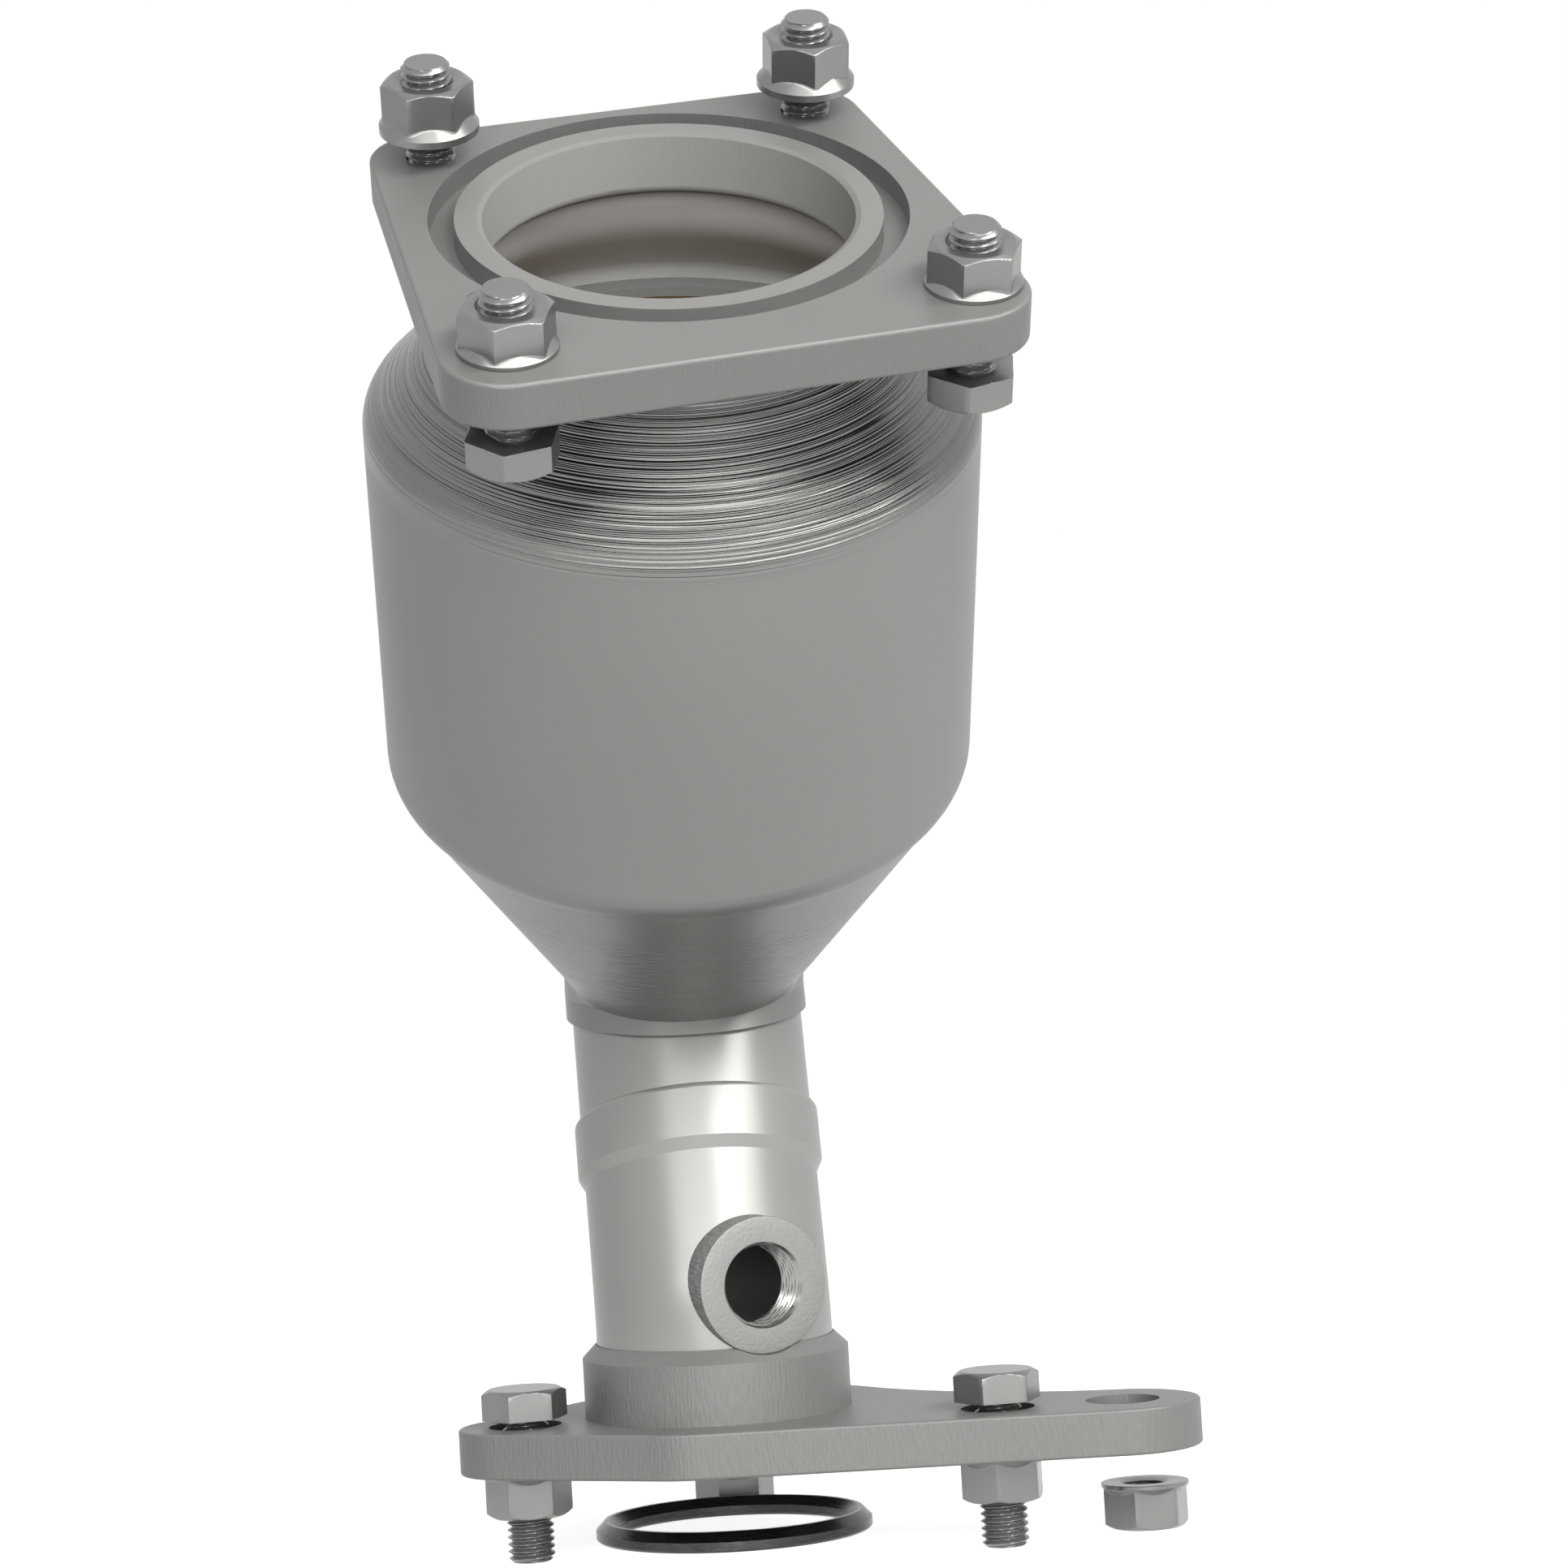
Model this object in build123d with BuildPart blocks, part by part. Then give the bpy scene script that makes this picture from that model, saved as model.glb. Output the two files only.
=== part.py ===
from build123d import *
import os
from math import asin, atan2, cos, radians, sin, tan

# Catalytic converter of an engine's exhaust, in millimetres. The origin is the centre of the
# outlet flange's mating face. Z is that flange's own axis and points to the converter, X runs
# along the flange's straight front edge, and Y away from it.

# Clearances
slip_gap = 0.05
thread_gap = 0.10

# Outlet flange: a thick plate with a round body and three lobes
outlet_thick = 9.5
outlet_edge_round = 0.6
outlet_body_radius = 41.0
front_edge_y = -38.5
front_corner_x = -8.0
front_corner_round = 18.0
right_lobe = (84.5, -21.8)
right_lobe_radius = 16.7
right_waist_radius = 79.0
left_lobe = (-41.0, -9.0)
left_lobe_radius = 14.2
left_waist_radius = 9.0
back_lobe = (1.0, 58.0)
back_lobe_radius = 14.5
back_waist_radius = 16.0
right_bolt = (58.8, -23.5)
spare_hole = (85.0, -22.0)
outlet_hole_radius = 7.75

# Outlet pipe: upright in its socket, then bent away from the front and a little to the left
pipe_radius = 25.4
pipe_wall = 1.5
pipe_tilt = 19.3
pipe_turn = 7.3
bend_radius = 34.0
bend_height = 29.35
pipe_long = 75.4
socket_radius = 28.65
socket_high = 15.4
socket_chamfer = 2.8

# Widened mouth of the outlet pipe, measured along the pipe from the middle of its bend
mouth_start = 30.2
mouth_taper = 2.6
mouth_long = 12.0
mouth_wall = 1.32
mouth_end_gap = 0.2

# Threaded boss of the oxygen sensor
bung_height = 37.5
bung_turn = 24.6
bung_radius = 14.35
bung_reach = 28.6
bung_long = 10.0
bung_thread_radius = 9.0
bung_tap_radius = 8.19
bung_edge = 0.4

# Can: its own frame has Z up the can's axis, with its zero in the inlet face
can_tilt = 37.84
can_turn = 4.54
can_radius = 61.7
can_wall = 1.6
shoulder_neck_end = -21.6
shoulder_end = -40.2
shoulder_neck_round = 18.5
shoulder_round = 7.0
roll_start = -119.9
roll_radius = 9.3
can_end = -126.9
cone_slope = 0.6
outlet_neck_wall = 1.25
outlet_neck_long = 9.162
outlet_neck_round = 6.0
lip_reach = 5.0
lip_round = 0.9

# Inlet flange: a plate with the can's short neck ring standing in its middle
inlet_turn = 15.3
inlet_thick = 9.4
inlet_edge_round = 0.8
inlet_front_v = -60.2
inlet_back_v = 50.1
inlet_middle_half = 52.98
inlet_widening = 0.062
inlet_front_corner = 12.9
inlet_back_corner = 11.9
groove_radius = 46.4
groove_deep = 4.5
neck_ring_bore = 36.0
neck_ring_wall = 5.35
neck_ring_long = 13.4
neck_ring_lip = 1.0
neck_ring_round = 2.2
left_front_bolt = (-42.8, -46.0)
right_front_bolt = (45.7, -46.0)
left_stud = (-38.35, 38.4)
right_stud = (39.55, 38.4)
inlet_hole_radius = 5.5

# Catalyst and what holds it in the can
mat_thick = 4.6
brick_top = -45.6
brick_long = 71.4
seal_top = -43.6
seal_high = 4.4

# Fasteners: M10 with 16 mm hexagons
thread_radius = 4.95
hex_across = 16.0
hex_chamfer_radius = 7.55
head_high = 6.4
tip_chamfer = 0.9
nut_mouth_chamfer = 0.5
outlet_bolt_long = 30.0
outlet_head_lift = 1.5
inlet_bolt_long = 29.0
inlet_bolt_tip = 12.0
stud_tip = 19.9
nut_flange_radius = 9.35
nut_flange_thick = 0.8
outlet_nut_high = 9.5
inlet_nut_high = 8.6
stud_nut_flange_radius = 9.9
stud_nut_flange_thick = 1.5
stud_nut_high = 10.6
stud_nut_base = 5.65

# Loose parts of the kit on the surface below the flange
gasket_centre = (1.55, 17.0)
gasket_radius = 30.4
gasket_bore = 25.55
gasket_thick = 4.15
gasket_top_chamfer = 1.95
gasket_foot_chamfer = 0.5
spare_nut_centre = (89.9, -7.3)
spare_nut_corner = 10.0


def side(place):
    """The plane through a place's axis: its x is the radius, its y runs along the axis"""
    return Plane(origin=place.origin, x_dir=place.x_dir, z_dir=-place.y_dir)


def axis_of(place):
    """The axis that a place stands on"""
    return Axis(place.origin, place.z_dir)


def seat(base, x, y, z, corner=0.0, upside_down=False):
    """A place on a base, with its x towards a corner of the hexagon there"""
    origin = base.from_local_coords(Vector(x, y, z))
    ahead = Vector(x + cos(radians(corner)), y + sin(radians(corner)), z)
    way = -1 if upside_down else 1
    return Plane(origin=origin, x_dir=base.from_local_coords(ahead) - origin, z_dir=base.z_dir * way)


def on_circle(centre, radius, towards):
    """The point of a circle that lies in the direction of another point"""
    centre = Vector(*centre)
    return centre + (Vector(*towards) - centre).normalized() * radius


def waist(centre_a, radius_a, centre_b, radius_b, radius):
    """A hollow arc from circle a to circle b that touches both: its start, middle and end"""
    a = Vector(*centre_a)
    b = Vector(*centre_b)
    apart = (b - a).length
    to_a = radius_a + radius
    to_b = radius_b + radius
    along = (to_a**2 - to_b**2 + apart**2) / (2 * apart)
    across = (to_a**2 - along**2) ** 0.5
    ahead = (b - a).normalized()
    centre = a + ahead * along + Vector(ahead.Y, -ahead.X) * across
    start = on_circle(a, radius_a, centre)
    end = on_circle(b, radius_b, centre)
    return start, on_circle(centre, radius, (start + end) * 0.5), end


# Places and directions
base = Plane.XY
pipe_way = Vector(-sin(radians(pipe_turn)), cos(radians(pipe_turn)), 0)
pipe_up = pipe_way * sin(radians(pipe_tilt)) + Vector(0, 0, cos(radians(pipe_tilt)))
pipe_place = Plane(origin=(0, 0, bend_height), x_dir=(pipe_up.Z, 0, -pipe_up.X), z_dir=pipe_up)
elbow = Vector(0, 0, bend_height) + pipe_up * pipe_long
can_up = Vector(
    sin(radians(can_tilt)) * sin(radians(can_turn)),
    -sin(radians(can_tilt)) * cos(radians(can_turn)),
    cos(radians(can_tilt)),
)
neck_ring_radius = neck_ring_bore + neck_ring_wall
neck_bore = pipe_radius + slip_gap
neck_outside = neck_bore + outlet_neck_wall
cone_top_radius = can_radius - roll_radius + (roll_radius**2 - (roll_start - can_end) ** 2) ** 0.5
cone_end = can_end - (cone_top_radius - neck_outside) / cone_slope
can_long = outlet_neck_long - cone_end
can_across = Vector(1, 0, 0) - can_up * can_up.X
can = Plane(origin=elbow + can_up * can_long, x_dir=can_across, z_dir=can_up)
inlet = seat(can, 0, 0, 0, inlet_turn)
mitre = Plane(origin=elbow, z_dir=(can_up + pipe_up).normalized())
lip = mitre.offset(-lip_reach)
bung_way = Vector(sin(radians(bung_turn)), -cos(radians(bung_turn)), 0)
bung_foot = pipe_place.origin + pipe_up * ((bung_height - bend_height) / pipe_up.Z)
bung_face = Plane(origin=bung_foot + bung_way * bung_reach, z_dir=bung_way)


# Outlet flange outline, from the right lobe round the back to the left front corner
right_arc = waist(right_lobe, right_lobe_radius, (0, 0), outlet_body_radius, right_waist_radius)
back_right_arc = waist((0, 0), outlet_body_radius, back_lobe, back_lobe_radius, back_waist_radius)
back_left_arc = waist(back_lobe, back_lobe_radius, (0, 0), outlet_body_radius, back_waist_radius)
left_arc = waist((0, 0), outlet_body_radius, left_lobe, left_lobe_radius, left_waist_radius)
front_corner = Vector(front_corner_x, front_edge_y)
to_left_lobe = Vector(*left_lobe) - front_corner
touch_angle = atan2(to_left_lobe.Y, to_left_lobe.X) + asin(left_lobe_radius / to_left_lobe.length)
touch_long = (to_left_lobe.length**2 - left_lobe_radius**2) ** 0.5
left_touch = front_corner + Vector(cos(touch_angle), sin(touch_angle)) * touch_long
right_touch = Vector(right_lobe[0], right_lobe[1] - right_lobe_radius)

with BuildPart() as outlet_flange:
    with BuildSketch() as outlet_outline:
        with BuildLine():
            Line(front_corner, right_touch)
            right_end = on_circle(right_lobe, right_lobe_radius, Vector(*right_lobe) + Vector(1, 0))
            ThreePointArc(right_touch, right_end, right_arc[0])
            ThreePointArc(*right_arc)
            body_right = on_circle((0, 0), outlet_body_radius, right_arc[2] + back_right_arc[0])
            ThreePointArc(right_arc[2], body_right, back_right_arc[0])
            ThreePointArc(*back_right_arc)
            back_end = on_circle(back_lobe, back_lobe_radius, Vector(*back_lobe) * 2)
            ThreePointArc(back_right_arc[2], back_end, back_left_arc[0])
            ThreePointArc(*back_left_arc)
            body_left = on_circle((0, 0), outlet_body_radius, back_left_arc[2] + left_arc[0])
            ThreePointArc(back_left_arc[2], body_left, left_arc[0])
            ThreePointArc(*left_arc)
            left_end = on_circle(left_lobe, left_lobe_radius, Vector(*left_lobe) * 2)
            ThreePointArc(left_arc[2], left_end, left_touch)
            Line(left_touch, front_corner)
        make_face()
        fillet(outlet_outline.vertices().sort_by_distance(front_corner)[0], radius=front_corner_round)
    extrude(amount=outlet_thick)
    rims = outlet_flange.faces().filter_by(Axis.Z).edges()
    fillet(rims, radius=outlet_edge_round)
    with BuildSketch():
        Circle(pipe_radius + slip_gap)
        with Locations(left_lobe, right_bolt, back_lobe, spare_hole):
            Circle(outlet_hole_radius)
    extrude(amount=outlet_thick, mode=Mode.SUBTRACT)
outlet_flange.part.label = "outlet_flange"
export_step(outlet_flange.part, "parts/outlet_flange.step")


# Sensor boss: a turned ring that passes through the pipe's wall
with BuildPart() as sensor_bung:
    with BuildSketch(bung_face):
        Circle(bung_radius)
        Circle(bung_tap_radius, mode=Mode.SUBTRACT)
    extrude(amount=-bung_long)
    mouth = sensor_bung.faces().sort_by(axis_of(bung_face))[-1].edges()
    chamfer(mouth.sort_by(SortBy.RADIUS)[0], length=bung_thread_radius - bung_tap_radius)
    chamfer(mouth.sort_by(SortBy.RADIUS)[-1], length=bung_edge)
sensor_bung.part.label = "sensor_bung"
export_step(sensor_bung.part, "parts/sensor_bung.step")

# The room that the boss needs, from well in front of its face to well inside the pipe
with BuildPart() as bung_room:
    with BuildSketch(bung_face):
        Circle(bung_radius + slip_gap)
    extrude(amount=bung_reach, both=True)


# Socket ring on the outlet flange, relieved where the sensor boss dips into it
with BuildPart() as outlet_socket:
    with BuildSketch(base.offset(outlet_thick)):
        Circle(socket_radius)
        Circle(pipe_radius + 2 * slip_gap, mode=Mode.SUBTRACT)
    extrude(amount=socket_high)
    top_edges = outlet_socket.faces().sort_by(Axis.Z)[-1].edges()
    chamfer(top_edges.sort_by(SortBy.RADIUS)[-1], length=socket_chamfer)
    add(bung_room.part, mode=Mode.SUBTRACT)
outlet_socket.part.label = "outlet_socket"
export_step(outlet_socket.part, "parts/outlet_socket.step")


# Outlet pipe: bent tube whose upper end is widened into a mouth
bend_tangent = bend_radius * tan(radians(pipe_tilt / 2))
bend_start = bend_height - bend_tangent
mouth_seat = mouth_start + mouth_taper
mouth_end = mouth_seat + mouth_long
mouth_bore = pipe_radius + slip_gap
mouth_radius = mouth_bore + mouth_wall
pipe_bore = pipe_radius - pipe_wall
bend_plane = Plane(origin=(0, 0, 0), x_dir=pipe_way, z_dir=pipe_way.cross(Vector(0, 0, 1)))
with BuildPart() as outlet_pipe:
    with BuildLine(bend_plane) as pipe_line:
        upright = Line((0, 0), (0, bend_start))
        bend = JernArc(start=upright @ 1, tangent=upright % 1, radius=bend_radius, arc_size=-pipe_tilt)
        Line(bend @ 1, (bend @ 1) + (bend % 1) * (mouth_start - bend_tangent))
    with BuildSketch(base):
        Circle(pipe_radius)
        Circle(pipe_bore, mode=Mode.SUBTRACT)
    sweep(path=pipe_line.wires()[0])
    with BuildSketch(side(pipe_place)):
        with BuildLine():
            Polyline(
                (mouth_radius, mouth_end - mouth_wall),
                (mouth_radius, mouth_seat),
                (pipe_radius, mouth_start),
                (pipe_bore, mouth_start),
                (mouth_bore, mouth_seat),
                (mouth_bore, mouth_end),
            )
            RadiusArc((mouth_bore, mouth_end), (mouth_radius, mouth_end - mouth_wall), mouth_wall)
        make_face()
    revolve(axis=axis_of(pipe_place))
    add(bung_room.part, mode=Mode.SUBTRACT)
outlet_pipe.part.label = "outlet_pipe"
export_step(outlet_pipe.part, "parts/outlet_pipe.step")


# Upper pipe: plugs into that mouth and reaches the mitre of the elbow
with BuildPart() as upper_pipe:
    with BuildSketch(pipe_place.offset(mouth_seat + mouth_end_gap)):
        Circle(pipe_radius)
        Circle(pipe_bore, mode=Mode.SUBTRACT)
    extrude(amount=pipe_long)
    split(bisect_by=mitre, keep=Keep.BOTTOM)
upper_pipe.part.label = "upper_pipe"
export_step(upper_pipe.part, "parts/upper_pipe.step")


def elbow_core(radius, top, reach):
    """A round core of one radius: along the can above the mitre, along the pipe below it"""
    with BuildPart() as above:
        with BuildSketch(can.offset(top)):
            Circle(radius)
        extrude(amount=-(can_long + top + 2 * radius))
        split(bisect_by=mitre, keep=Keep.TOP)
    with BuildPart() as below:
        with BuildSketch(pipe_place.offset(pipe_long + 2 * radius)):
            Circle(radius)
        extrude(amount=-4 * radius)
        split(bisect_by=mitre, keep=Keep.BOTTOM)
        split(bisect_by=mitre.offset(-reach), keep=Keep.TOP)
    return above.part + below.part


# Lower cone: narrows from the can to the elbow and grips the upper pipe
cone_wall = can_wall * (1 + cone_slope**2) ** 0.5
inner_top_radius = cone_top_radius - cone_wall
inner_end = can_end - (inner_top_radius - neck_bore) / cone_slope
neck_start = cone_end - outlet_neck_round / 2
with BuildPart() as lower_cone:
    with BuildSketch(side(can)):
        with BuildLine():
            FilletPolyline(
                (cone_top_radius, can_end),
                (neck_outside, cone_end),
                (neck_outside, neck_start),
                radius=outlet_neck_round,
            )
            Polyline((neck_outside, neck_start), (0, neck_start), (0, can_end), (cone_top_radius, can_end))
        make_face()
    revolve(axis=axis_of(can))
    add(elbow_core(neck_outside, neck_start, lip_reach))
    fillet(lower_cone.faces().sort_by(axis_of(lip))[0].edges(), radius=lip_round)
    with BuildSketch(side(can)):
        with BuildLine():
            Polyline(
                (inner_top_radius, can_end),
                (neck_bore, inner_end),
                (0, inner_end),
                (0, can_end),
                close=True,
            )
        make_face()
    revolve(axis=axis_of(can), mode=Mode.SUBTRACT)
    add(elbow_core(neck_bore, inner_end, 2 * lip_reach), mode=Mode.SUBTRACT)
lower_cone.part.label = "lower_cone"
export_step(lower_cone.part, "parts/lower_cone.step")


# Can: one spun shell from the neck under the inlet flange to its rolled-in lower end
can_neck_bore = neck_ring_radius + slip_gap
can_neck_radius = can_neck_bore + can_wall
inset = can_wall * tan(radians(45 / 2))
with BuildPart() as can_shell:
    with BuildSketch(side(can)):
        with BuildLine():
            FilletPolyline(
                (can_neck_radius, -inlet_thick),
                (can_neck_radius, shoulder_neck_end),
                (can_radius, shoulder_end),
                (can_radius, roll_start),
                radius=[shoulder_neck_round, shoulder_round],
            )
            roll_centre = (can_radius - roll_radius, roll_start)
            roll_out = (cone_top_radius, can_end)
            roll_in_radius = roll_radius - can_wall
            roll_in_x = (roll_in_radius**2 - (roll_start - can_end) ** 2) ** 0.5
            roll_in = (roll_centre[0] + roll_in_x, can_end)
            RadiusArc((can_radius, roll_start), roll_out, roll_radius)
            Line(roll_out, roll_in)
            RadiusArc(roll_in, (can_radius - can_wall, roll_start), -roll_in_radius)
            FilletPolyline(
                (can_radius - can_wall, roll_start),
                (can_radius - can_wall, shoulder_end - inset),
                (can_neck_bore, shoulder_neck_end - inset),
                (can_neck_bore, -inlet_thick),
                radius=[shoulder_round - can_wall, shoulder_neck_round + can_wall],
            )
            Line((can_neck_bore, -inlet_thick), (can_neck_radius, -inlet_thick))
        make_face()
    revolve(axis=axis_of(can))
can_shell.part.label = "can_shell"
export_step(can_shell.part, "parts/can_shell.step")


# Inlet flange plate, with a groove for the joint's gasket round the neck ring
def inlet_half(v):
    """Half the plate's width at a distance v from its middle: it widens towards the front"""
    return inlet_middle_half - inlet_widening * v


with BuildPart() as inlet_flange:
    with BuildSketch(inlet) as inlet_outline:
        Polygon(
            (-inlet_half(inlet_front_v), inlet_front_v),
            (inlet_half(inlet_front_v), inlet_front_v),
            (inlet_half(inlet_back_v), inlet_back_v),
            (-inlet_half(inlet_back_v), inlet_back_v),
            align=None,
        )
        backwards = Axis(inlet.origin, inlet.y_dir)
        fillet(inlet_outline.vertices().sort_by(backwards)[-2:], radius=inlet_back_corner)
        fillet(inlet_outline.vertices().sort_by(backwards)[:2], radius=inlet_front_corner)
    extrude(amount=-inlet_thick)
    rims = inlet_flange.faces().sort_by(axis_of(inlet))
    fillet(rims[0].edges() + rims[-1].edges(), radius=inlet_edge_round)
    with BuildSketch(inlet):
        Circle(neck_ring_radius + slip_gap)
        with Locations(left_front_bolt, right_front_bolt):
            Circle(inlet_hole_radius)
        with Locations(left_stud, right_stud):
            Circle(thread_radius + slip_gap)
    extrude(amount=-inlet_thick, mode=Mode.SUBTRACT)
    with BuildSketch(inlet):
        Circle(groove_radius)
    extrude(amount=-groove_deep, mode=Mode.SUBTRACT)
inlet_flange.part.label = "inlet_flange"
export_step(inlet_flange.part, "parts/inlet_flange.step")


# Neck ring: stands flush in the flange and reaches into the can's neck
with BuildPart() as inlet_neck:
    with BuildSketch(side(inlet)):
        with BuildLine():
            Polyline(
                (neck_ring_bore + neck_ring_lip, 0),
                (neck_ring_radius, 0),
                (neck_ring_radius, -neck_ring_long),
                (neck_ring_bore + neck_ring_round, -neck_ring_long),
            )
            bore_foot = (neck_ring_bore, -neck_ring_long + neck_ring_round)
            RadiusArc((neck_ring_bore + neck_ring_round, -neck_ring_long), bore_foot, neck_ring_round)
            Line(bore_foot, (neck_ring_bore, -neck_ring_lip / 2))
            Line((neck_ring_bore, -neck_ring_lip / 2), (neck_ring_bore + neck_ring_lip, 0))
        make_face()
    revolve(axis=axis_of(inlet))
inlet_neck.part.label = "inlet_neck"
export_step(inlet_neck.part, "parts/inlet_neck.step")


# Catalyst brick, the mat round it and a seal ring at each end of the mat
can_bore = can_radius - can_wall
brick_radius = can_bore - mat_thick
with BuildPart() as catalyst_brick:
    with BuildSketch(can.offset(brick_top)):
        Circle(brick_radius)
    extrude(amount=-brick_long)
catalyst_brick.part.label = "catalyst_brick"
export_step(catalyst_brick.part, "parts/catalyst_brick.step")

mat_top = seal_top - seal_high
mat_end = brick_top - brick_long - (mat_top - brick_top)
sleeves = {
    "upper_mat_seal": (seal_top, seal_high),
    "support_mat": (mat_top, mat_top - mat_end),
    "lower_mat_seal": (mat_end, seal_high),
}
for name, (top, high) in sleeves.items():
    with BuildPart() as sleeve:
        with BuildSketch(can.offset(top)):
            Circle(can_bore - slip_gap)
            Circle(brick_radius + slip_gap, mode=Mode.SUBTRACT)
        extrude(amount=-high)
    sleeve.part.label = name
    export_step(sleeve.part, f"parts/{name}.step")


def hex_blank(place, high):
    """A hexagon standing on its place, with its corners turned off at the far end"""
    corner_radius = hex_across / 2 / cos(radians(30))
    drop = (corner_radius - hex_chamfer_radius) * tan(radians(30))
    with BuildPart() as blank:
        with BuildSketch(place):
            RegularPolygon(hex_across / 2, 6, major_radius=False)
        extrude(amount=high)
        with BuildSketch(side(place)):
            Polygon(
                (0, 0),
                (corner_radius, 0),
                (corner_radius, high - drop),
                (hex_chamfer_radius, high),
                (0, high),
                align=None,
            )
        revolve(axis=axis_of(place), mode=Mode.INTERSECT)
    return blank.part


def hex_bolt(place, long):
    """A bolt with its head's underside on its place, the head above it and the shank below"""
    with BuildPart() as bolt:
        add(hex_blank(place, head_high))
        with BuildSketch(place):
            Circle(thread_radius)
        extrude(amount=-long)
        chamfer(bolt.faces().sort_by(axis_of(place))[0].edges(), length=tip_chamfer)
    return bolt


def flange_nut(place, high, flange_radius, flange_thick):
    """A nut with a washer flange, whose flange rests on its place"""
    skirt = hex_across / 2
    with BuildPart() as nut:
        add(hex_blank(place, high))
        with BuildSketch(side(place)):
            with BuildLine():
                Polyline(
                    (0, 0),
                    (flange_radius, 0),
                    (flange_radius, flange_thick),
                    (skirt, flange_thick + (flange_radius - skirt)),
                    (0, flange_thick + (flange_radius - skirt)),
                    close=True,
                )
            make_face()
        revolve(axis=axis_of(place))
        with BuildSketch(place):
            Circle(thread_radius + thread_gap)
        extrude(amount=high, mode=Mode.SUBTRACT)
        ends = nut.faces().sort_by(axis_of(place))
        for end in (ends[0], ends[-1]):
            chamfer(end.edges().filter_by(GeomType.CIRCLE).sort_by(SortBy.RADIUS)[0], length=nut_mouth_chamfer)
    return nut


# The front outlet bolts stand on their tips and carry the plate on their nuts. The back bolt hangs
# from its head, with its nut only started on the thread
outlet_bolts = {
    "left": (left_lobe, outlet_head_lift, 13.7, 7.0),
    "right": (right_bolt, outlet_head_lift, 8.7, 20.0),
    "back": (back_lobe, 0.0, 0.0, 8.0),
}
outlet_tips = []
for name, (spot, lift, head_corner, nut_corner) in outlet_bolts.items():
    bolt = hex_bolt(seat(base, *spot, outlet_thick + lift, head_corner), outlet_bolt_long)
    bolt.part.label = f"outlet_bolt_{name}"
    export_step(bolt.part, f"parts/outlet_bolt_{name}.step")
    tip = Vector(*spot, outlet_thick + lift - outlet_bolt_long)
    outlet_tips.append(tip)
    nut_top = tip.Z + outlet_nut_high if name == "back" else 0
    nut_place = seat(base, *spot, nut_top, nut_corner, upside_down=True)
    nut = flange_nut(nut_place, outlet_nut_high, nut_flange_radius, nut_flange_thick)
    nut.part.label = f"outlet_nut_{name}"
    export_step(nut.part, f"parts/outlet_nut_{name}.step")


# Front bolts of the inlet flange come up from below, with their nuts on the face
front_bolts = {
    "left": (left_front_bolt, -7.1, 2.5),
    "right": (right_front_bolt, -10.5, -1.8),
}
head_z = inlet_bolt_tip - inlet_bolt_long
for name, (spot, head_corner, nut_corner) in front_bolts.items():
    bolt = hex_bolt(seat(inlet, *spot, head_z, -head_corner, upside_down=True), inlet_bolt_long)
    bolt.part.label = f"inlet_bolt_{name}"
    export_step(bolt.part, f"parts/inlet_bolt_{name}.step")
    nut_place = seat(inlet, *spot, 0, nut_corner)
    nut = flange_nut(nut_place, inlet_nut_high, nut_flange_radius, nut_flange_thick)
    nut.part.label = f"inlet_nut_{name}"
    export_step(nut.part, f"parts/inlet_nut_{name}.step")


# Back studs are fixed in the inlet flange, each with a nut part of the way down
studs = {"left": (left_stud, -7.8), "right": (right_stud, 24.8)}
for name, (spot, nut_corner) in studs.items():
    foot = seat(inlet, *spot, -inlet_thick)
    with BuildPart() as stud:
        with BuildSketch(foot):
            Circle(thread_radius)
        extrude(amount=inlet_thick + stud_tip)
        chamfer(stud.faces().sort_by(axis_of(foot))[-1].edges(), length=tip_chamfer)
    stud.part.label = f"inlet_stud_{name}"
    export_step(stud.part, f"parts/inlet_stud_{name}.step")
    nut_place = seat(inlet, *spot, stud_nut_base, nut_corner)
    nut = flange_nut(nut_place, stud_nut_high, stud_nut_flange_radius, stud_nut_flange_thick)
    nut.part.label = f"stud_nut_{name}"
    export_step(nut.part, f"parts/stud_nut_{name}.step")


# Gasket ring and spare nut lie on the surface that the three bolt tips stand on
left_tip, right_tip, back_tip = outlet_tips
surface_up = (right_tip - left_tip).cross(back_tip - left_tip).normalized()
surface_foot = Vector(0, 0, left_tip.dot(surface_up) / surface_up.Z)
surface = Plane(origin=surface_foot, x_dir=(surface_up.Z, 0, -surface_up.X), z_dir=surface_up)
gasket_place = seat(surface, *gasket_centre, 0)
with BuildPart() as gasket_ring:
    with BuildSketch(side(gasket_place)):
        with BuildLine():
            Polyline(
                (gasket_bore + gasket_foot_chamfer, 0),
                (gasket_radius - gasket_foot_chamfer, 0),
                (gasket_radius, gasket_foot_chamfer),
                (gasket_radius, gasket_thick - gasket_top_chamfer),
                (gasket_radius - gasket_top_chamfer, gasket_thick),
                (gasket_bore + gasket_top_chamfer, gasket_thick),
                (gasket_bore, gasket_thick - gasket_top_chamfer),
                (gasket_bore, gasket_foot_chamfer),
                close=True,
            )
        make_face()
    revolve(axis=axis_of(gasket_place))
gasket_ring.part.label = "gasket_ring"
export_step(gasket_ring.part, "parts/gasket_ring.step")

spare_top = seat(surface, *spare_nut_centre, outlet_nut_high, spare_nut_corner, upside_down=True)
spare_nut = flange_nut(spare_top, outlet_nut_high, nut_flange_radius, nut_flange_thick)
spare_nut.part.label = "spare_nut"
export_step(spare_nut.part, "parts/spare_nut.step")
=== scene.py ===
from math import cos, pi, radians, sin, tan
import bpy
import numpy as np
from mathutils import Matrix, Vector


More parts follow.
